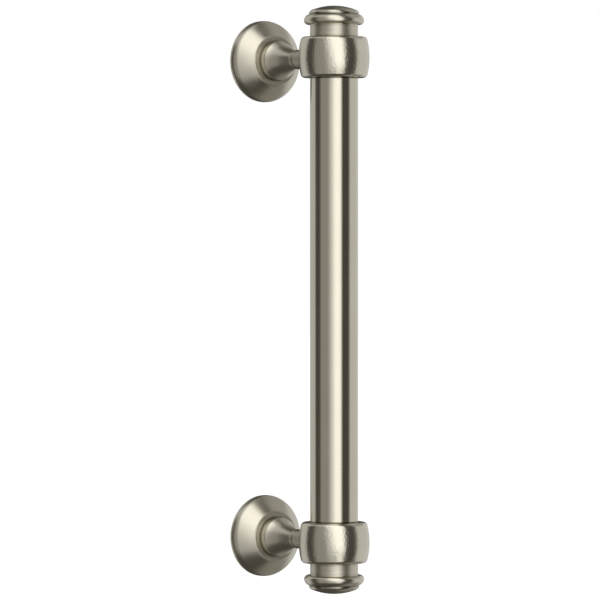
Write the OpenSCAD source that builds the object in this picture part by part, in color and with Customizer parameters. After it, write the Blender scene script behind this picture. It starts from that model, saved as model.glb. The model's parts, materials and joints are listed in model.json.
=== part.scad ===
// Cabinet pull: a round bar between two barrel-shaped collars, each carried by a trumpet-shaped post that
// stands on a bevelled rosette, with a beaded and domed cap screwed against the outer face of each collar.
// The mounting face lies in the XZ plane and the front faces -Y. Z runs along the bar. The origin is
// midway between the two fixing screws, on the mounting face.

/* [Layout] */
// Distance between the two fixing screws
hole_spacing = 128; // [96:1:224]
// Distance from the mounting face to the axis of the bar
projection = 32.6; // [31:0.1:40]

/* [Bar] */
// Diameter of the bar and of the neck of each cap
bar_d = 12.6; // [11:0.1:13]
// Chamfer on the shoulder at each end of the bar
bar_edge = 0.2; // [0.1:0.05:0.5]

/* [Collars] */
// Largest diameter of a collar, at the middle of its barrel
collar_d = 18.7; // [17:0.1:21]
// Length of a collar along the bar
collar_h = 10.8; // [10:0.1:13]
// Radius of the arc that gives a collar its barrel shape
crown_r = 19; // [14:0.5:60]
// Rounding of a collar's end edges
collar_edge_r = 1.1; // [0.3:0.1:1.4]

/* [Posts] */
// Diameter of the foot where it stands on the rosette
foot_d = 10.4; // [9.4:0.1:12]
// Height of the foot's upright edge
foot_h = 2.15; // [1:0.05:3]
// Rounding where the foot's edge turns into the flare
foot_edge_r = 0.4; // [0.2:0.05:0.8]
// Length of the concave flare, from the foot's edge to the neck
flare_l = 7.1; // [6:0.1:8]
// Radius of the flare's arc
flare_r = 18.5; // [12:0.5:40]
// Diameter of the neck at the narrow end of the flare
neck_d = 4.6; // [4:0.1:5.4]
// Diameter of the ring above the neck
ring_d = 5.2; // [5:0.1:6.4]
// Height of the ring
ring_h = 1.9; // [1.2:0.1:2.4]
// Radius of the ring's rounded side
ring_r = 2.2; // [1.5:0.1:5]
// Diameter of the stem between the ring and the collar
stem_d = 4.9; // [4.5:0.1:5.5]
// Length of the stem's blend, measured down from the back of the collar
blend_l = 2.15; // [1.5:0.05:2.5]
// Radius of that blend
blend_r = 3; // [2:0.1:3.5]
// Diameter of the spigot that centres the foot in its rosette
foot_spigot_d = 7; // [6:0.1:8]

/* [Rosettes] */
// Diameter of a rosette at the mounting face
rosette_d = 21.9; // [20:0.1:22.9]
// Thickness of a rosette
rosette_h = 5.75; // [5.1:0.05:6.5]
// Diameter of its flat top
rosette_top_d = 13.5; // [13:0.1:15]
// Height of the upright edge that stands on the mounting face
upright_h = 0.4; // [0.1:0.05:1]
// Radius of the rounded shoulder between that edge and the bevel
shoulder_r = 2.7; // [2:0.1:4]
// Rounding of the edge between the bevel and the flat top
top_edge_r = 0.6; // [0.2:0.05:1]
// Width of the rim that bears on the door
rim_w = 1.6; // [1:0.1:2.5]
// Width of the boss round the hole in the rosette's back
boss_w = 1.4; // [1:0.1:2]
// Depth of the relief between that rim and boss
relief_l = 0.8; // [0.3:0.1:1.5]

/* [Caps] */
// Length of the neck between a collar and the bead
cap_neck_h = 3.2; // [2:0.1:5]
// Largest diameter of the bead
bead_d = 15.8; // [15:0.1:18]
// Height of the bead
bead_h = 2.7; // [2.7:0.05:3.2]
// Radius of the bead's rounded side
bead_r = 1.75; // [1.7:0.05:2.4]
// Rounding of the edge under the bead
bead_edge_r = 1; // [0.2:0.1:1]
// Depth of the turned groove between the bead and the button
groove_l = 0.15; // [0.05:0.05:0.4]
// Width of that groove
groove_w = 0.3; // [0.1:0.05:0.4]
// Diameter of the domed button
button_d = 13.3; // [13.2:0.1:14.4]
// Height of the button
button_h = 2.3; // [2.2:0.05:3]
// Radius of the dome
dome_r = 16; // [13:0.5:30]
// Rounding of the button's edge
button_edge_r = 1.2; // [0.8:0.1:1.4]

/* [Studs and fixings] */
// Diameter of the threaded stud that clamps a cap, a collar and the bar together
stud_d = 5; // [4:0.5:5]
// Length of a stud
stud_l = 25; // [22:0.5:30]
// Chamfer on the ends of a stud
stud_edge = 0.5; // [0.2:0.1:0.8]
// Metal left above the hole in a cap
cap_wall = 0.8; // [0.6:0.05:1.5]
// Diameter of the spigots on the bar and the caps that centre the collars
spigot_d = 8; // [7:0.1:9]
// Length of those spigots
spigot_l = 1.4; // [1:0.1:2.5]
// Diameter of the fixing screw
screw_d = 4; // [3:0.5:5]
// Depth of its tapped hole
screw_hole_l = 10; // [8:0.5:11]
// Chamfer at its mouth
screw_chamfer = 0.3; // [0.1:0.05:0.35]

/* [Clearances] */
// Gap all round a spigot
spigot_gap = 0.05; // [0.02:0.01:0.2]
// Gap between a stud or a fixing screw and the tapped hole round it, in place of the thread
thread_gap = 0.05; // [0.02:0.01:0.1]
// Gap between a stud and the plain hole through a collar
through_gap = 0.25; // [0.1:0.05:0.5]
// Room left beyond each end of a stud and of a spigot
end_gap = 0.6; // [0.1:0.05:0.9]
// Distance that the foot's spigot stops short of the mounting face
foot_gap = 0.15; // [0.05:0.05:0.15]

/* [Hidden] */
$fn = 96;

// Drill point angle, and how far a cutting shape stands out of the face that it cuts
drill_point = 118;
cut = 1;

// How far a rounding is let into the arc or line that it touches, so that the two cross cleanly
bite = 0.0005;

brushed = [0.72, 0.68, 0.61];
satin = [0.66, 0.62, 0.56];
turned = [0.76, 0.72, 0.65];
steel = [0.55, 0.56, 0.58];

// Heights along a post, measured from the mounting face
foot_top = rosette_h + foot_h;
neck_y = foot_top + flare_l;
ring_top = neck_y + ring_h;
blend_y = projection - collar_d / 2 - blend_l;

// Heights along a cap, measured from the outer face of its collar
bead_y = cap_neck_h;
button_y = bead_y + bead_h;
cap_h = button_y + button_h;

// Reach of a stud beyond the two faces of its collar
stud_hole_d = stud_d + 2 * thread_gap;
cap_hole_l = cap_h - cap_wall - point_l(stud_hole_d);
stud_out = cap_hole_l - end_gap;
stud_in = stud_l - collar_h - stud_out;

// Length of the point that a drill leaves at the end of a hole
function point_l(d) = d / 2 / tan(drill_point / 2);

// Centre of the arc of radius r that runs from p to q and bends towards +X
function arc_centre(p, q, r) =
    let (d = q - p, half = norm(d) / 2)
    (p + q) / 2 + [d.y, -d.x] / norm(d) * sqrt(r * r - half * half);

// Half section of a disc whose side bulges out in an arc. Its largest diameter is d, the arc has its
// centre at height arc_y, and edge_r rounds the lower and the upper edge.
module bulge_2d(d, low, high, arc_r, arc_y, edge_r = [0, 0]) {
    arc_x = d / 2 - arc_r;
    drop = [arc_y - low, high - arc_y];
    edge_y = drop - edge_r;
    reach = [for (e = edge_r) arc_r - e + (e > 0 ? bite : 0)];
    edge_x = [for (i = [0, 1]) arc_x + sqrt(pow(reach[i], 2) - pow(edge_y[i], 2))];
    touch = [for (i = [0, 1]) edge_y[i] * arc_r / reach[i]];
    intersection() {
        translate([arc_x, arc_y]) circle(arc_r);
        translate([0, arc_y - touch[0]]) square([d / 2, touch[0] + touch[1]]);
    }
    if (arc_x > 0) translate([0, low]) square([arc_x, high - low]);
    for (i = [0, 1]) if (edge_r[i] > 0) {
        translate([edge_x[i], arc_y + (2 * i - 1) * edge_y[i]]) circle(edge_r[i]);
        translate([0, i == 0 ? low : arc_y]) square([edge_x[i], drop[i]]);
    }
}

// Blind drilled hole that opens at z = 0 and goes up
module blind_hole(d, l) {
    rotate_extrude()
        polygon([[0, -cut], [d / 2, -cut], [d / 2, l], [0, l + point_l(d)]]);
}

// Places a shape that is drawn along +Z on the fixing point of a post, so that it stands out to the front
module on_wall() {
    translate([0, 0, hole_spacing / 2]) rotate([90, 0, 0]) children();
}

// Places a shape that is drawn for the top end of the pull at either end
module at_end(side) {
    mirror([0, 0, side < 0 ? 1 : 0]) children();
}

// Places a shape on the axis of the bar, at the middle of the top collar
module on_bar() {
    translate([0, -projection, hole_spacing / 2]) children();
}

// The bar, a solid rod with a centring spigot and a tapped hole at each end
module bar() {
    half_l = (hole_spacing - collar_h) / 2;
    color(brushed)
    translate([0, -projection, 0])
    difference() {
        rotate_extrude()
            polygon([[0, -half_l - spigot_l], [spigot_d / 2, -half_l - spigot_l], [spigot_d / 2, -half_l],
                     [bar_d / 2 - bar_edge, -half_l], [bar_d / 2, -half_l + bar_edge],
                     [bar_d / 2, half_l - bar_edge], [bar_d / 2 - bar_edge, half_l],
                     [spigot_d / 2, half_l], [spigot_d / 2, half_l + spigot_l], [0, half_l + spigot_l]]);
        for (side = [-1, 1]) at_end(side)
            translate([0, 0, half_l + spigot_l]) rotate([180, 0, 0])
                blind_hole(stud_hole_d, stud_in + spigot_l + end_gap);
    }
}

// Barrel-shaped collar, drawn about the axis of the bar
module collar() {
    rotate_extrude()
        bulge_2d(collar_d, -collar_h / 2, collar_h / 2, crown_r, 0, [collar_edge_r, collar_edge_r]);
}

// Plain hole for the stud, with a counterbore for the spigots at both faces of the collar
module collar_holes() {
    sink = spigot_l + end_gap;
    cylinder(h = collar_h + 2 * cut, d = stud_d + 2 * through_gap, center = true);
    for (side = [-1, 1]) at_end(side)
        translate([0, 0, collar_h / 2 - sink]) cylinder(h = sink + cut, d = spigot_d + 2 * spigot_gap);
}

// Half section of a post's stem: spigot, foot, flare, neck, ring, and the blend that runs into the collar
module stem_2d() {
    flare_c = arc_centre([foot_d / 2, foot_top], [neck_d / 2, neck_y], flare_r);
    edge_x = foot_d / 2 - foot_edge_r;
    edge_gap = flare_r + foot_edge_r - bite;
    edge_c = [edge_x, flare_c.y - sqrt(pow(edge_gap, 2) - pow(flare_c.x - edge_x, 2))];
    // A point in the open beyond the place where the edge's rounding meets the flare
    beyond = edge_c + (flare_c - edge_c) / edge_gap * 2 * foot_edge_r;
    blend_c = [stem_d / 2 + blend_r, blend_y];
    blend_end = blend_c + blend_r * [-cos(45), sin(45)];
    buried_x = collar_h / 2 - collar_edge_r / 2;
    buried_y = blend_end.y + buried_x - blend_end.x;

    translate([0, foot_gap]) square([foot_spigot_d / 2, foot_top - foot_gap]);
    translate([0, rosette_h]) square([foot_d / 2, edge_c.y - rosette_h]);
    translate(edge_c) circle(foot_edge_r);
    difference() {
        polygon([[0, edge_c.y], edge_c, beyond, [beyond.x, neck_y], [0, neck_y]]);
        translate(flare_c) circle(flare_r);
    }
    bulge_2d(ring_d, neck_y, ring_top, ring_r, neck_y + ring_h / 2);
    translate([0, neck_y + ring_h / 2]) square([stem_d / 2, blend_y - neck_y - ring_h / 2]);
    difference() {
        polygon([[0, blend_y], [blend_end.x, blend_y], blend_end, [buried_x, buried_y], [0, buried_y]]);
        translate(blend_c) circle(blend_r);
    }
}

// One casting: collar, stem and foot, drilled through for the stud and tapped for the fixing screw
module post() {
    screw_bore_d = screw_d + 2 * thread_gap;
    color(satin)
    difference() {
        union() {
            on_bar() collar();
            on_wall() rotate_extrude() stem_2d();
        }
        on_bar() collar_holes();
        on_wall() translate([0, 0, foot_gap]) {
            blind_hole(screw_bore_d, screw_hole_l);
            rotate_extrude()
                polygon([[0, -cut], [screw_bore_d / 2 + screw_chamfer + cut, -cut],
                         [screw_bore_d / 2, screw_chamfer], [0, screw_chamfer]]);
        }
    }
}

// Half section of a rosette: upright edge, shoulder, bevel and flat top, with a hole and a relieved back
module rosette_2d() {
    top_corner = [rosette_top_d / 2, rosette_h];
    base_r = rosette_d / 2;
    shoulder_c = [base_r - shoulder_r, upright_h];
    // The bevel runs down from the top corner to where it touches the shoulder's arc
    rise = top_corner - shoulder_c;
    bevel_a = atan2(rise.y, rise.x) - acos(shoulder_r / norm(rise));
    out = [cos(bevel_a), sin(bevel_a)];
    trim = top_edge_r * tan((90 - bevel_a) / 2);
    bevel_top = top_corner + trim * [out.y, -out.x];
    edge_c = top_corner - [trim - bite, top_edge_r];
    hole_d = foot_spigot_d + 2 * spigot_gap;
    difference() {
        union() {
            polygon([[0, 0], [base_r - bite, 0], [base_r - bite, upright_h], shoulder_c + shoulder_r * out,
                     bevel_top, edge_c, [edge_c.x, rosette_h], [0, rosette_h]]);
            intersection() {
                translate(shoulder_c + bite * out) circle(shoulder_r);
                square([rosette_d, rosette_h]);
            }
            translate(edge_c) circle(top_edge_r);
        }
        translate([0, -cut]) square([hole_d / 2, rosette_h + 2 * cut]);
        translate([hole_d / 2 + boss_w, -cut])
            square([(rosette_d - hole_d) / 2 - boss_w - rim_w, cut + relief_l]);
    }
}

// Turned rosette that the post clamps against the door
module rosette() {
    color(turned) on_wall() rotate_extrude() rosette_2d();
}

// Half section of a cap above the face of its collar: neck, bead, groove and domed button
module cap_2d() {
    bead_x = bead_d / 2 - bead_r;
    bead_arc_y = button_y - sqrt(bead_r * bead_r - pow(button_d / 2 - bead_x, 2));
    edge_x = button_d / 2 - button_edge_r;
    dome_y = cap_h - dome_r;
    edge_reach = dome_r - button_edge_r + bite;
    edge_y = dome_y + sqrt(edge_reach * edge_reach - edge_x * edge_x);
    dome_touch = [0, dome_y] + [edge_x, edge_y - dome_y] * dome_r / edge_reach;

    square([bar_d / 2, bead_y]);
    bulge_2d(bead_d, bead_y, button_y, bead_r, bead_arc_y, [bead_edge_r, 0]);
    difference() {
        union() {
            if (edge_y > button_y) translate([0, button_y]) square([button_d / 2, edge_y - button_y]);
            translate([edge_x, edge_y]) circle(button_edge_r);
            intersection() {
                translate([0, dome_y]) circle(dome_r);
                polygon([[0, button_y], [edge_x, button_y], [edge_x, edge_y], dome_touch,
                         [dome_touch.x, cap_h], [0, cap_h]]);
            }
        }
        translate([button_d / 2 - groove_l, button_y]) square([button_d, groove_w]);
    }
}

// Turned cap with a spigot that centres the collar and a tapped hole for the stud
module cap() {
    color(turned)
    on_bar() translate([0, 0, collar_h / 2])
    difference() {
        rotate_extrude() {
            cap_2d();
            translate([0, -spigot_l]) square([spigot_d / 2, spigot_l]);
        }
        translate([0, 0, -spigot_l]) blind_hole(stud_hole_d, cap_hole_l + spigot_l);
    }
}

// Headless stud that clamps the cap, the collar and the bar together
module stud() {
    color(steel)
    on_bar() translate([0, 0, collar_h / 2 + stud_out - stud_l])
    rotate_extrude()
        polygon([[0, 0], [stud_d / 2 - stud_edge, 0], [stud_d / 2, stud_edge],
                 [stud_d / 2, stud_l - stud_edge], [stud_d / 2 - stud_edge, stud_l], [0, stud_l]]);
}

bar();
at_end(1) post();  // upper_post
at_end(-1) post();  // lower_post
at_end(1) rosette();  // upper_rosette
at_end(-1) rosette();  // lower_rosette
at_end(1) cap();  // upper_cap
at_end(-1) cap();  // lower_cap
at_end(1) stud();  // upper_stud
at_end(-1) stud();  // lower_stud
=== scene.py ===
"""Looks of a satin nickel cabinet pull, built round the pull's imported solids.

Each solid keeps its own mesh and gets its finish, and the two threads for the fixing screws are
added. The pull hangs in a small studio. Its frame is the solids' own: Z runs along the bar, the
mounting face is the plane y = 0 and the front faces -Y. Lengths are in metres, apart from the
camera's lens and sensor.
"""

from __future__ import annotations

import json
import logging
import math
from dataclasses import dataclass, field
from enum import Enum
from typing import Any, Mapping, Sequence, Union

import bpy
from mathutils import Matrix, Vector

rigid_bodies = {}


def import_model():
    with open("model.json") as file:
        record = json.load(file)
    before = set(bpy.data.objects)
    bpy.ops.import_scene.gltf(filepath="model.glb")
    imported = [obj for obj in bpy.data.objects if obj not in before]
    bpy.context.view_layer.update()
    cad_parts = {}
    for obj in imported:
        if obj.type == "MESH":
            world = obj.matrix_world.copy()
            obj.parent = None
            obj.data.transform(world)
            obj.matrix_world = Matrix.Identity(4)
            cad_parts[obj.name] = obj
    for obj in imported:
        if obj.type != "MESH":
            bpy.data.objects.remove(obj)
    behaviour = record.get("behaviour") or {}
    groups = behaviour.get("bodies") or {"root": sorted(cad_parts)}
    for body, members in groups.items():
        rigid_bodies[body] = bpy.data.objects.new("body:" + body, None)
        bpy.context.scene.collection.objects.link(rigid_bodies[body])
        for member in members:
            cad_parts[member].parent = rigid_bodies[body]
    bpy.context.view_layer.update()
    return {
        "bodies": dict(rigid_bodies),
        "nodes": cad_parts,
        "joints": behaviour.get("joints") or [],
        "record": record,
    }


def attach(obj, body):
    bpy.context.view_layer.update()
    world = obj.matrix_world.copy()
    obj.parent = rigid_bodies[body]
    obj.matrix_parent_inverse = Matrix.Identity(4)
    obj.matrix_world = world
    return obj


LOG = logging.getLogger("cabinet_pull")
MM = 0.001

Number = Union[float, "Wire"]
Colour = tuple[float, float, float]


# Node trees


class Wire:
    """One output of a node, which takes part in Python expressions as a number."""

    def __init__(self, net: "Net", socket: bpy.types.NodeSocket) -> None:
        """Wraps a socket.

        Args:
            net: The tree that the socket belongs to.
            socket: The output that carries the number.
        """
        self.net = net
        self.socket = socket

    def _math(self, operation: str, *values: Number, clamp: bool = False) -> "Wire":
        """Adds a Math node.

        Args:
            operation: The node's operation.
            values: Its inputs, in order.
            clamp: Whether the result is kept between 0 and 1.

        Returns:
            The node's result.
        """
        settings = {"operation": operation, "use_clamp": clamp}
        return self.net.add("ShaderNodeMath", settings, dict(enumerate(values))).out()

    def __add__(self, other: Number) -> "Wire":
        """Sum."""
        return self._math("ADD", self, other)

    def __radd__(self, other: Number) -> "Wire":
        """Sum, with the plain number first."""
        return self._math("ADD", other, self)

    def __sub__(self, other: Number) -> "Wire":
        """Difference."""
        return self._math("SUBTRACT", self, other)

    def __rsub__(self, other: Number) -> "Wire":
        """Difference, with the plain number first."""
        return self._math("SUBTRACT", other, self)

    def __mul__(self, other: Number) -> "Wire":
        """Product."""
        return self._math("MULTIPLY", self, other)

    def __rmul__(self, other: Number) -> "Wire":
        """Product, with the plain number first."""
        return self._math("MULTIPLY", other, self)

    def __truediv__(self, other: Number) -> "Wire":
        """Quotient."""
        return self._math("DIVIDE", self, other)

    def __abs__(self) -> "Wire":
        """Distance from zero."""
        return self._math("ABSOLUTE", self)

    def root(self) -> "Wire":
        """Square root."""
        return self._math("SQRT", self)

    def sine(self) -> "Wire":
        """Sine of an angle in radians."""
        return self._math("SINE", self)

    def arcsine(self) -> "Wire":
        """Angle in radians that has this sine."""
        return self._math("ARCSINE", self)

    def turned_from(self, other: "Wire") -> "Wire":
        """Angle in radians of the direction whose cosine part is the other wire."""
        return self._math("ARCTAN2", self, other)

    def wrapped(self, low: float, high: float) -> "Wire":
        """The same number brought between two bounds by whole turns."""
        return self._math("WRAP", self, high, low)

    def share(self, start: float, end: float) -> "Wire":
        """Part of the way from one number to another, from 0 to 1."""
        return self._math("DIVIDE", self - start, end - start, clamp=True)

    def ease(self, start: float, end: float) -> "Wire":
        """Smooth step.

        Args:
            start: The number where the step is 0.
            end: The number where it is 1. It may be below start.

        Returns:
            A number from 0 to 1.
        """
        settings = {"interpolation_type": "SMOOTHSTEP", "clamp": True}
        low, high = min(start, end), max(start, end)
        limits = (0.0, 1.0) if start < end else (1.0, 0.0)
        sockets = {"Value": self, "From Min": low, "From Max": high,
                   "To Min": limits[0], "To Max": limits[1]}
        return self.net.add("ShaderNodeMapRange", settings, sockets).out()


@dataclass(frozen=True)
class Node:
    """A node that has been placed in a tree."""

    net: "Net"
    raw: bpy.types.Node

    def out(self, name: Union[str, int] = 0) -> Wire:
        """One of the node's outputs as a wire."""
        return Wire(self.net, self.raw.outputs[name])


class Net:
    """A node tree that is written from Python expressions."""

    def __init__(self, tree: bpy.types.NodeTree) -> None:
        """Takes over a tree and empties it.

        Args:
            tree: The tree to fill.
        """
        self.tree = tree
        tree.nodes.clear()

    def add(self, kind: str, settings: Mapping[str, Any] | None = None,
            sockets: Mapping[Union[str, int], Any] | None = None) -> Node:
        """Adds a node.

        Args:
            kind: The node's type.
            settings: Its own settings, which are set first.
            sockets: A value or a wire for each input that is used.

        Returns:
            The new node.
        """
        node = self.tree.nodes.new(kind)
        for name, value in (settings or {}).items():
            setattr(node, name, value)
        for name, value in (sockets or {}).items():
            if isinstance(value, Wire):
                self.tree.links.new(value.socket, node.inputs[name])
            else:
                node.inputs[name].default_value = value
        return Node(self, node)

    def vector(self, x: Number, y: Number, z: Number) -> Wire:
        """Joins three numbers into a vector."""
        return self.add("ShaderNodeCombineXYZ", sockets={0: x, 1: y, 2: z}).out()

    def split(self, vector: Wire) -> tuple[Wire, Wire, Wire]:
        """The three numbers of a vector."""
        node = self.add("ShaderNodeSeparateXYZ", sockets={0: vector})
        return node.out(0), node.out(1), node.out(2)

    def along(self, vector: Wire, direction: Vector) -> Wire:
        """Length of a vector's part in a fixed direction."""
        return self.add("ShaderNodeVectorMath", {"operation": "DOT_PRODUCT"},
                        {0: vector, 1: tuple(direction)}).out("Value")

    def noise(self, place: Wire, scale: float, detail: float = 2.0, rough: float = 0.5) -> Wire:
        """Noise that varies about 0.5.

        Args:
            place: The point that is looked up.
            scale: Repeats for each unit of that point.
            detail: Octaves above the first.
            rough: Weight of each octave against the one before it.

        Returns:
            A number, mostly from 0.25 to 0.75.
        """
        sockets = {"Vector": place, "Scale": scale, "Detail": detail, "Roughness": rough}
        return self.add("ShaderNodeTexNoise", {"noise_dimensions": "3D"}, sockets).out("Fac")

    def tint(self, factor: Wire, low: Union[Colour, Wire], high: Union[Colour, Wire]) -> Wire:
        """Colour between two colours.

        Args:
            factor: 0 for the first colour and 1 for the second.
            low: The first colour.
            high: The second colour.

        Returns:
            The colour.
        """
        node = self.add("ShaderNodeMix", {"data_type": "RGBA", "clamp_factor": True})
        inputs = [s for s in node.raw.inputs if s.enabled]
        for socket, value in zip(inputs, (factor, low, high)):
            if isinstance(value, Wire):
                self.tree.links.new(value.socket, socket)
            else:
                socket.default_value = (*value, 1.0)
        return Wire(self, next(s for s in node.raw.outputs if s.enabled))


# Finishes


class Axis(Enum):
    """The axis that a turned or brushed surface was worked about."""

    BAR = "bar"
    SCREWS = "screws"


@dataclass(frozen=True)
class Round:
    """Where a point of a round surface lies.

    Attributes:
        east: Cosine part of the direction from the axis, from -1 to 1.
        north: Sine part of that direction.
        radius: Distance from the axis.
        height: Place along the axis.
    """

    east: Wire
    north: Wire
    radius: Wire
    height: Wire


@dataclass(frozen=True)
class Layout:
    """Places on the pull where one finish or piece gives way to the next.

    Attributes:
        half_spacing: Half the distance between the fixing screws.
        projection: Distance from the mounting face to the axis of the bar.
        collar_radius: Radius of the collars where they are widest.
        collar_inner: Distance from the middle of the bar to where it enters a collar.
        collar_outer: Distance from the middle of the bar to where a collar meets its cap.
        bead_start: Distance from the middle of the bar to the bead of a cap.
        groove: Distance from the middle of the bar to the groove between bead and button.
        ring_top: Distance from the mounting face to the far side of the rings on the stems.
        rosette_top: Distance from the mounting face to the rosettes' flat tops.
        foot_radius: Radius of the posts' feet, which stand on those flat tops.
        waist_radius: Radius of a post halfway down its flare.
        flat_radius: Radius of the rosettes' flat tops.
        rosette_radius: Radius of the rosettes.
    """

    half_spacing: float = 64.0 * MM
    projection: float = 32.6 * MM
    collar_radius: float = 9.35 * MM
    collar_inner: float = 58.6 * MM
    collar_outer: float = 69.4 * MM
    bead_start: float = 72.6 * MM
    groove: float = 75.4 * MM
    ring_top: float = 16.9 * MM
    rosette_top: float = 5.75 * MM
    foot_radius: float = 5.2 * MM
    waist_radius: float = 3.2 * MM
    flat_radius: float = 6.75 * MM
    rosette_radius: float = 10.95 * MM

    def place(self, net: Net, axis: Axis) -> Round:
        """Writes the nodes that find a point's place about an axis.

        Args:
            net: The material's tree.
            axis: The axis to measure from.

        Returns:
            The place, which is the same at both ends of the pull.
        """
        x, y, z = net.split(net.add("ShaderNodeTexCoord").out("Object"))
        if axis is Axis.BAR:
            across, along = y + self.projection, z
        else:
            across, along = abs(z) - self.half_spacing, y
        radius = (x * x + across * across).root()
        return Round(x / (radius + 1e-6), across / (radius + 1e-6), radius, along)


@dataclass(frozen=True)
class Nickel:
    """Satin nickel plate, the base of the finishes below.

    Attributes:
        name: The material's name.
        colour: Colour where the plate is clean.
        shade: Colour where it is dull, a little darker and warmer.
        seam_shade: Dark colour painted into the seams between the pieces: painted shade where they meet.
        roughness: Roughness of the finish.
    """

    name: str
    colour: Colour = (0.695, 0.662, 0.562)
    shade: Colour = (0.60, 0.563, 0.462)
    seam_shade: Colour = (0.25, 0.23, 0.175)
    roughness: float = 0.25

    def start(self) -> tuple[bpy.types.Material, Net]:
        """Makes an empty material.

        Returns:
            The material and its tree.
        """
        material = bpy.data.materials.new(self.name)
        material.use_nodes = True
        return material, Net(material.node_tree)

    def finish(self, net: Net, colour: Wire, roughness: Number, normal: Wire,
               anisotropic: float = 0.0, turn: float = 0.0) -> None:
        """Ends a material in a metal shader.

        Args:
            net: The material's tree.
            colour: Colour over the surface.
            roughness: Roughness over the surface.
            normal: Bumped normal.
            anisotropic: How much longer highlights are across the brushing.
            turn: Part of a turn from the surface's own tangent to the brushing.
        """
        sockets = {"Base Color": colour, "Metallic": 1.0, "Roughness": roughness,
                   "Normal": normal, "Anisotropic": anisotropic, "Anisotropic Rotation": turn}
        shader = net.add("ShaderNodeBsdfPrincipled", {"distribution": "MULTI_GGX"}, sockets)
        net.add("ShaderNodeOutputMaterial", sockets={"Surface": shader.out()})

    @staticmethod
    def bump(net: Net, height: Wire, distance: float = 1.0) -> Wire:
        """Normal of a surface with fine relief.

        Args:
            net: The material's tree.
            height: Relief, as a share of the distance.
            distance: Depth of that relief.

        Returns:
            The normal.
        """
        sockets = {"Height": height, "Distance": distance, "Strength": 1.0}
        return net.add("ShaderNodeBump", sockets=sockets).out()


@dataclass(frozen=True)
class BrushedNickel(Nickel):
    """Nickel brushed round the bar, so that reflections are crisp across it and long along it.

    Attributes:
        line: Mean width of a brush line.
        depth: Depth of the lines.
        anisotropic: How much longer highlights are along the bar than round it.
    """

    name: str = "brushed_nickel"
    roughness: float = 0.2
    line: float = 0.16 * MM
    depth: float = 0.0011 * MM
    anisotropic: float = 0.8

    def build(self, layout: Layout) -> bpy.types.Material:
        """Makes the material.

        Args:
            layout: Where the axes are.

        Returns:
            The material.
        """
        material, net = self.start()
        at = layout.place(net, Axis.BAR)
        streak = net.vector(at.east * 1.5, at.north * 1.5, at.height / self.line * 0.25)
        lines = net.noise(streak, 1.0, 3.0, 0.65)
        wide = net.noise(net.vector(at.east * 0.6, at.north * 0.6, at.height / MM * 0.08), 1.0)
        clean = net.tint(lines * 0.5 + wide * 0.5 - 0.2, self.shade, self.colour)
        # Painted shade: the bar is painted darker over the last half millimetre before each collar.
        seam_shade = abs(at.height).ease(layout.collar_inner - 0.45 * MM, layout.collar_inner - 0.1 * MM)
        colour = net.tint(seam_shade * 0.8, clean, self.seam_shade)
        roughness = self.roughness + (lines - 0.5) * 0.08 + (wide - 0.5) * 0.04
        normal = self.bump(net, lines, self.depth)
        self.finish(net, colour, roughness, normal, self.anisotropic, 0.25)
        return material


@dataclass(frozen=True)
class CastNickel(Nickel):
    """Nickel over a polished casting, whose surface stays faintly pebbled.

    Attributes:
        stem_roughness: Roughness of the stem and the foot, which the polishing wheel missed.
        pebble: Size of the larger pebbles.
        depth: Depth between them.
        flare: Slope by which the flare opens further at the foot, which is too fine for the solid.
    """

    name: str = "cast_nickel"
    roughness: float = 0.17
    stem_roughness: float = 0.32
    pebble: float = 0.6 * MM
    depth: float = 0.045 * MM
    flare: float = 0.32

    def build(self, layout: Layout) -> bpy.types.Material:
        """Makes the material.

        Args:
            layout: Where the axes are.

        Returns:
            The material.
        """
        material, net = self.start()
        at = layout.place(net, Axis.SCREWS)
        point = net.add("ShaderNodeTexCoord").out("Object")
        pebbles = net.noise(point, 1.0 / self.pebble, 1.5, 0.45)
        grain = net.noise(point, 3.5 / self.pebble, 2.0, 0.6)
        cloud = net.noise(point, 0.12 / self.pebble, 2.0, 0.5)
        clean = net.tint((grain - 0.5) * 1.6 + cloud * 0.7 + 0.2, self.shade, self.colour)
        back = layout.collar_radius - layout.projection
        stem = at.height.ease(back - 0.5 * MM, back + 1.0 * MM)
        # Painted shade: the post is painted darker within 1.5 mm of the rosette's flat top, where its foot
        # stands.
        seam_shade = abs(at.height + layout.rosette_top).ease(1.5 * MM, 0.1 * MM)
        # Painted shade: the slim stem between its ring and the collar is painted darker, as the collar would
        # shade it.
        slim = at.radius.ease(layout.foot_radius, layout.waist_radius)
        behind = at.height.ease(back - 1.6 * MM, back - 0.6 * MM)
        neck_shade = slim * behind * at.height.ease(2.4 * MM - layout.ring_top, -1.0 * MM - layout.ring_top)
        colour = net.tint(seam_shade * 0.8 + neck_shade * 0.55, clean, self.seam_shade)
        roughness = (self.roughness + stem * (self.stem_roughness - self.roughness)
                     + (grain - 0.5) * 0.08 + (cloud - 0.5) * 0.05)
        spread = at.radius.share(layout.waist_radius, layout.foot_radius)
        flare = stem * spread * spread * (0.5 * self.flare * (layout.foot_radius - layout.waist_radius))
        normal = self.bump(net, (pebbles + grain * 0.3) * (1.0 - stem * 0.8) * self.depth + flare)
        self.finish(net, colour, roughness, normal)
        return material


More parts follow.
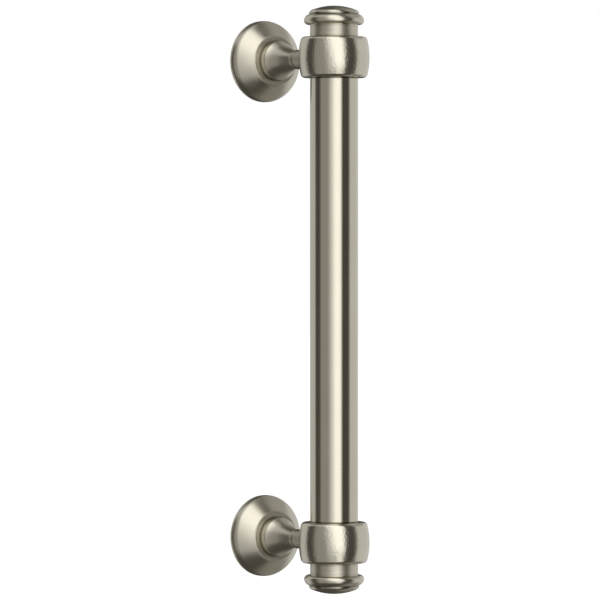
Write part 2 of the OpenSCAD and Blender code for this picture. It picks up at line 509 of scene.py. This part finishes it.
@dataclass(frozen=True)
class TurnedNickel(Nickel):
    """Nickel over a turned piece, with the fine rings that the lathe leaves.

    Attributes:
        axis: The axis that the piece was turned about.
        dull_roughness: Roughness of the caps' necks and the rosettes' flats, which the polishing
            wheel doesn't reach.
        ring: Mean width of a ring.
        depth: Depth of the rings.
        slope: Weight of the height against the radius where the rings are counted.
        crown: Slope of the slight crown on the rosettes' bevels, at their upper edge.
        anisotropic: How much longer highlights are across the rings.
    """

    name: str = "turned_nickel"
    roughness: float = 0.28
    dull_roughness: float = 0.42
    axis: Axis = Axis.SCREWS
    ring: float = 0.2 * MM
    depth: float = 0.005 * MM
    slope: float = 1.2
    crown: float = 0.21
    anisotropic: float = 0.0

    def build(self, layout: Layout) -> bpy.types.Material:
        """Makes the material.

        Args:
            layout: Where the axes are.

        Returns:
            The material.
        """
        material, net = self.start()
        at = layout.place(net, self.axis)
        path = at.radius + abs(at.height) * self.slope
        rings = net.noise(net.vector(at.east * 0.5, at.north * 0.5, path / self.ring * 0.25),
                          1.0, 3.0, 0.6)
        point = net.add("ShaderNodeTexCoord").out("Object")
        cloud = net.noise(point, 0.15 / MM, 2.0, 0.5)
        crown: Number = 0.0
        if self.axis is Axis.BAR:
            # Painted shade: a cap is painted darker where it meets its collar and in the groove between bead
            # and button.
            seam_shade = (abs(at.height).ease(layout.collar_outer + 0.4 * MM, layout.collar_outer)
                    + abs(abs(at.height) - layout.groove).ease(0.5 * MM, 0.1 * MM))
            dull = abs(at.height).ease(layout.bead_start, layout.bead_start - 0.3 * MM)
        else:
            dull = at.height.ease(0.4 * MM - layout.rosette_top, 0.1 * MM - layout.rosette_top)
            # Painted shade: the rosette's flat top is painted darker within 0.7 mm of the post's foot.
            seam_shade = dull * at.radius.ease(layout.foot_radius + 0.7 * MM, layout.foot_radius)
            inside = 1.0 - at.radius.share(layout.flat_radius, layout.rosette_radius)
            crown = inside * inside * (0.5 * self.crown * (layout.flat_radius - layout.rosette_radius))
        marks = 0.4 + dull * 3.0
        clean = net.tint((rings - 0.5) * marks + cloud * 0.6 + 0.05, self.shade, self.colour)
        colour = net.tint(seam_shade * 0.8, clean, self.seam_shade)
        roughness = (self.roughness + dull * (self.dull_roughness - self.roughness)
                     + (rings - 0.5) * 0.08 + (cloud - 0.5) * 0.06)
        normal = self.bump(net, rings * marks * self.depth + crown)
        turn = 0.25 if self.anisotropic else 0.0
        self.finish(net, colour, roughness, normal, self.anisotropic, turn)
        return material


@dataclass(frozen=True)
class ZincSteel(Nickel):
    """Zinc plated steel of the studs, with the shading of a rolled thread.

    Attributes:
        pitch: Distance between two turns of the thread.
        depth: Depth of the thread's shading.
    """

    name: str = "stud_steel"
    colour: Colour = (0.60, 0.61, 0.63)
    shade: Colour = (0.46, 0.47, 0.48)
    roughness: float = 0.35
    pitch: float = 0.8 * MM
    depth: float = 0.12 * MM

    def build(self, layout: Layout) -> bpy.types.Material:
        """Makes the material.

        Args:
            layout: Where the axes are.

        Returns:
            The material.
        """
        material, net = self.start()
        at = layout.place(net, Axis.BAR)
        phase = at.height / self.pitch * math.tau - at.north.turned_from(at.east)
        thread = phase.sine() * 0.5 + 0.5
        cloud = net.noise(net.add("ShaderNodeTexCoord").out("Object"), 0.4 / MM, 2.0, 0.5)
        # Painted shade: the colour is darker in the thread's grooves and lighter on its crests, as the
        # thread's relief would shade it.
        colour = net.tint(thread * 0.6 + cloud * 0.4, self.shade, self.colour)
        roughness = self.roughness + (cloud - 0.5) * 0.15
        self.finish(net, colour, roughness, self.bump(net, thread, self.depth))
        return material


# The pull's own pieces


@dataclass
class SubAssembly:
    """Solids of the pull that share a finish.

    Attributes:
        nodes: Names of the solids.
        material: The finish that they wear.
    """

    nodes: tuple[str, ...]
    material: bpy.types.Material

    def dress(self, frame: Mapping[str, Any]) -> None:
        """Gives the solids their finish.
        """
        for name in self.nodes:
            piece = frame["nodes"][name]
            for slot in piece.material_slots:
                slot.material = self.material
            LOG.info("%s wears %s", name, self.material.name)


@dataclass(frozen=True)
class ScrewThreads:
    """Threads cut in the two posts for the fixing screws, an M4 in each.

    Attributes:
        pitch: Distance between two turns.
        turns: Number of turns.
        mouth: Distance from the mounting face to the first turn.
        wall_radius: Radius of the hole that the thread stands in.
        depth: Height of the thread over the wall.
        sink: Depth to which its base is set in the wall.
        base_width: Width of the thread at its base.
        crest_width: Width of its flat crest.
        steps: Straight pieces in each turn.
    """

    pitch: float = 0.7 * MM
    turns: float = 12.5
    mouth: float = 0.95 * MM
    wall_radius: float = 2.05 * MM
    depth: float = 0.38 * MM
    sink: float = 0.03 * MM
    base_width: float = 0.56 * MM
    crest_width: float = 0.09 * MM
    steps: int = 40

    def tree(self, material: bpy.types.Material) -> bpy.types.NodeTree:
        """Writes the node tree that winds one thread.

        Args:
            material: The thread's finish.

        Returns:
            The tree, whose inputs are the thread's sizes and its place along the bar.
        """
        tree = bpy.data.node_groups.new("screw_thread", "GeometryNodeTree")
        for name in self.sizes(0.0):
            tree.interface.new_socket(name=name, in_out="INPUT", socket_type="NodeSocketFloat")
        tree.interface.new_socket(name="Geometry", in_out="OUTPUT", socket_type="NodeSocketGeometry")
        net = Net(tree)
        sizes = net.add("NodeGroupInput")
        radius, base, crest = (sizes.out(name) for name in ("Wall radius", "Base width", "Crest width"))
        helix = net.add("GeometryNodeCurveSpiral", sockets={
            "Resolution": self.steps, "Rotations": sizes.out("Turns"), "Start Radius": radius,
            "End Radius": radius, "Height": sizes.out("Pitch") * sizes.out("Turns"), "Reverse": True})
        path = net.add("GeometryNodeSetCurveNormal", {"mode": "Z_UP"}, {"Curve": helix.out()})
        inner, outer = sizes.out("Depth") * -1.0, sizes.out("Sink")
        section = net.add("GeometryNodeCurvePrimitiveQuadrilateral", {"mode": "POINTS"}, {
            "Point 1": net.vector(outer, base * -0.5, 0.0), "Point 2": net.vector(outer, base * 0.5, 0.0),
            "Point 3": net.vector(inner, crest * 0.5, 0.0), "Point 4": net.vector(inner, crest * -0.5, 0.0)})
        ridge = net.add("GeometryNodeCurveToMesh", sockets={
            "Curve": path.out(), "Profile Curve": section.out(), "Fill Caps": True})
        placed = net.add("GeometryNodeTransform", sockets={
            "Geometry": ridge.out(), "Rotation": (math.pi / 2, 0.0, 0.0),
            "Translation": net.vector(0.0, sizes.out("Mouth") * -1.0, sizes.out("Place"))})
        real = net.add("GeometryNodeRealizeInstances", sockets={"Geometry": placed.out()})
        dressed = net.add("GeometryNodeSetMaterial", sockets={"Geometry": real.out(), "Material": material})
        net.add("NodeGroupOutput", sockets={"Geometry": dressed.out()})
        return tree

    def sizes(self, place: float) -> dict[str, float]:
        """The tree's inputs by name.

        Args:
            place: Distance of the screw above the middle of the bar.

        Returns:
            A number for each input.
        """
        return {"Pitch": self.pitch, "Turns": self.turns, "Mouth": self.mouth,
                "Wall radius": self.wall_radius, "Depth": self.depth, "Sink": self.sink,
                "Base width": self.base_width, "Crest width": self.crest_width, "Place": place}

    def wind(self, name: str, place: float, tree: bpy.types.NodeTree) -> bpy.types.Object:
        """Makes one thread as a plain mesh.

        Args:
            name: The piece's name.
            place: Distance of its screw above the middle of the bar.
            tree: The tree that winds it.

        Returns:
            The finished piece.
        """
        piece = bpy.data.objects.new(name, bpy.data.meshes.new(name))
        bpy.context.scene.collection.objects.link(piece)
        modifier = piece.modifiers.new("thread", "NODES")
        modifier.node_group = tree
        sockets = {item.name: item.identifier for item in tree.interface.items_tree}
        for size, value in self.sizes(place).items():
            modifier[sockets[size]] = value
        graph = bpy.context.evaluated_depsgraph_get()
        piece.data = bpy.data.meshes.new_from_object(piece.evaluated_get(graph))
        piece.modifiers.clear()
        return piece

    def build(self, layout: Layout, material: bpy.types.Material) -> None:
        """Makes both threads and fixes them to the pull.

        Args:
            layout: Where the screws are.
            material: The threads' finish.
        """
        tree = self.tree(material)
        for name, place in (("upper_thread", layout.half_spacing), ("lower_thread", -layout.half_spacing)):
            piece = self.wind(name, place, tree)
            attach(piece, "root")
            LOG.info("%s has %d faces", name, len(piece.data.polygons))


# The studio


@dataclass(frozen=True)
class PhotoCamera:
    """Camera at the photograph's place.

    Attributes:
        azimuth: Degrees round the pull from straight in front of it, towards +X.
        elevation: Degrees above the horizon.
        distance: Distance from the point that the camera looks at.
        lens: Focal length in millimetres on a sensor 36 mm wide.
        pan: How far that point lies to the right of the middle of the bar.
        roll: Degrees that the camera leans.
    """

    azimuth: float = -35.134
    elevation: float = 0.74
    distance: float = 1.12
    lens: float = 254.65
    pan: float = -8.99 * MM
    roll: float = -0.017

    def back(self) -> Vector:
        """Direction from the pull to the camera."""
        turn, lift = math.radians(self.azimuth), math.radians(self.elevation)
        return Vector((math.sin(turn) * math.cos(lift), -math.cos(turn) * math.cos(lift),
                       math.sin(lift)))

    def right(self) -> Vector:
        """Direction to the right in the picture."""
        turn = math.radians(self.azimuth)
        return Vector((math.cos(turn), math.sin(turn), 0.0))

    def build(self, layout: Layout) -> bpy.types.Object:
        """Makes the camera and gives it to the scene.

        Args:
            layout: Where the bar is.

        Returns:
            The camera.
        """
        camera = bpy.data.objects.new("camera", bpy.data.cameras.new("camera"))
        bpy.context.scene.collection.objects.link(camera)
        camera.data.lens = self.lens
        camera.data.sensor_width = 36.0
        camera.data.clip_start, camera.data.clip_end = 0.01, 100.0
        target = Vector((0.0, -layout.projection, 0.0)) + self.right() * self.pan
        turn = self.back().to_track_quat("Z", "Y").to_matrix()
        lean = Matrix.Rotation(math.radians(self.roll), 3, "Z")
        place = Matrix.Translation(target + self.back() * self.distance)
        camera.matrix_world = place @ (turn @ lean).to_4x4()
        bpy.context.scene.camera = camera
        return camera


@dataclass(frozen=True)
class Panel:
    """A soft box or a dark card, as the pull sees it.

    Attributes:
        name: What the panel is.
        azimuth: Degrees from the camera to its middle, to the right in the picture.
        elevation: Degrees from the horizon up to its middle.
        width: Degrees across.
        height: Degrees from its lower to its upper edge.
        level: Brightness.
        feather: Degrees over which its edge fades.
        spread: Degrees that its left edge moves out for each degree above the horizon.
    """

    name: str
    azimuth: float
    elevation: float
    width: float
    height: float
    level: float
    feather: float = 12.0
    spread: float = 0.0

    def mask(self, azimuth: Wire, elevation: Wire) -> Wire:
        """How much of a direction the panel fills.

        Args:
            azimuth: Degrees from the camera to the direction.
            elevation: Degrees from the horizon up to it.

        Returns:
            A number from 0 to 1.
        """
        half = self.feather / 2
        mask = abs(elevation - self.elevation).ease(self.height / 2 + half, self.height / 2 - half)
        if self.width < 360.0:
            widening = elevation * (self.spread / 2)
            across = abs((azimuth - self.azimuth + widening).wrapped(-180.0, 180.0)) - widening
            mask = mask * across.ease(self.width / 2 + half, self.width / 2 - half)
        return mask


@dataclass(frozen=True)
class Studio:
    """Light, background and floor.

    Attributes:
        floor_level: Height of the floor, below the pull.
        floor_size: Length of the floor's sides.
        floor_glow: Brightness of its own that makes the floor look white.
        ambient: Brightness where there is no panel.
        dusk: Colour of the light from dark places, a little warmer than that from the panels.
        panels: Soft boxes and dark cards, each painted over the ones before it.
    """

    floor_level: float = -0.118
    floor_size: float = 8.0
    floor_glow: float = 0.62
    ambient: float = 0.08
    dusk: Colour = (1.05, 1.0, 0.90)
    panels: tuple[Panel, ...] = field(default_factory=lambda: (
        Panel("left wall", -131.5, 4.0, 56.0, 80.0, 0.60, 12.0),
        Panel("right sky", 124.0, 45.0, 96.0, 36.0, 0.42, 22.0),
        Panel("right ground", 122.0, -50.0, 96.0, 50.0, 0.29, 22.0),
        Panel("right wall", 124.0, -1.0, 88.0, 56.0, 0.70, 16.0),
        Panel("left fill", -40.0, 10.0, 60.0, 100.0, 0.35, 16.0),
        Panel("upper left bounce", -62.0, 62.0, 110.0, 50.0, 0.6, 20.0),
        Panel("overhead", 0.0, 90.0, 360.0, 24.0, 0.55, 12.0),
        Panel("key skirt", 5.0, -21.0, 54.0, 38.0, 0.60, 18.0),
        Panel("key foot", 19.0, -24.0, 22.0, 30.0, 1.25, 14.0),
        Panel("key fade", 5.0, 28.0, 57.0, 92.0, 0.68, 18.0, 0.4),
        Panel("key rise", 10.0, 29.0, 45.0, 92.0, 1.06, 18.0, 0.4),
        Panel("key", 16.5, 30.0, 34.0, 92.0, 1.58, 17.0, 0.4),
        Panel("key core", -3.0, 54.0, 48.0, 36.0, 1.6, 22.0),
    ))

    def light(self, camera: PhotoCamera) -> None:
        """Makes the world.

        Args:
            camera: The camera, from which the panels' azimuths are counted.
        """
        world = bpy.data.worlds.new("studio")
        world.use_nodes = True
        bpy.context.scene.world = world
        net = Net(world.node_tree)
        way = net.add("ShaderNodeTexCoord").out("Generated")
        front = Vector((camera.back().x, camera.back().y, 0.0)).normalized()
        azimuth = net.along(way, camera.right()).turned_from(net.along(way, front)) * (360 / math.tau)
        elevation = net.along(way, Vector((0.0, 0.0, 1.0))).arcsine() * (360 / math.tau)
        level: Number = self.ambient
        for panel in self.panels:
            mask = panel.mask(azimuth, elevation)
            level = mask * panel.level + (1.0 - mask) * level
        seen = net.add("ShaderNodeLightPath").out("Is Camera Ray")
        colour = net.tint(level.ease(0.0, 0.7), self.dusk, (1.0, 1.0, 1.0))
        studio = net.add("ShaderNodeBackground", sockets={"Color": colour, "Strength": level})
        white = net.add("ShaderNodeBackground", sockets={"Color": (1.0, 1.0, 1.0, 1.0),
                                                         "Strength": 1.0})
        mix = net.add("ShaderNodeMixShader", sockets={0: seen, 1: studio.out(), 2: white.out()})
        net.add("ShaderNodeOutputWorld", sockets={"Surface": mix.out()})

    def lay_floor(self) -> None:
        """Makes the pale floor, which the camera sees as white and which keeps a soft shadow."""
        half = self.floor_size / 2
        corners = [(-half, -half), (half, -half), (half, half), (-half, half)]
        mesh = bpy.data.meshes.new("floor")
        mesh.from_pydata([(x, y, self.floor_level) for x, y in corners], [], [(0, 1, 2, 3)])
        floor = bpy.data.objects.new("floor", mesh)
        bpy.context.scene.collection.objects.link(floor)
        floor.visible_glossy = False
        material = bpy.data.materials.new("pale_floor")
        material.use_nodes = True
        net = Net(material.node_tree)
        matt = net.add("ShaderNodeBsdfDiffuse", sockets={"Color": (0.8, 0.8, 0.8, 1.0)})
        glow = net.add("ShaderNodeEmission", sockets={"Color": (1.0, 1.0, 1.0, 1.0),
                                                      "Strength": self.floor_glow})
        both = net.add("ShaderNodeAddShader", sockets={0: matt.out(), 1: glow.out()})
        net.add("ShaderNodeOutputMaterial", sockets={"Surface": both.out()})
        mesh.materials.append(material)


def main() -> None:
    """Loads the solids, dresses them and sets up the studio."""
    logging.basicConfig(level=logging.INFO, format="%(name)s: %(message)s")
    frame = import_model()
    layout = Layout()
    bpy.context.scene.view_settings.view_transform = "Standard"
    caps = TurnedNickel(name="turned_nickel_cap", axis=Axis.BAR, roughness=0.26, anisotropic=0.4)
    threads = TurnedNickel(name="turned_nickel_thread", depth=0.0)
    for part in (
        SubAssembly(("bar",), BrushedNickel().build(layout)),
        SubAssembly(("upper_post", "lower_post"), CastNickel().build(layout)),
        SubAssembly(("upper_rosette", "lower_rosette"), TurnedNickel().build(layout)),
        SubAssembly(("upper_cap", "lower_cap"), caps.build(layout)),
        SubAssembly(("upper_stud", "lower_stud"), ZincSteel().build(layout)),
    ):
        part.dress(frame)
    ScrewThreads().build(layout, threads.build(layout))
    camera = PhotoCamera()
    camera.build(layout)
    studio = Studio()
    studio.light(camera)
    studio.lay_floor()


if __name__ == "__main__":
    main()
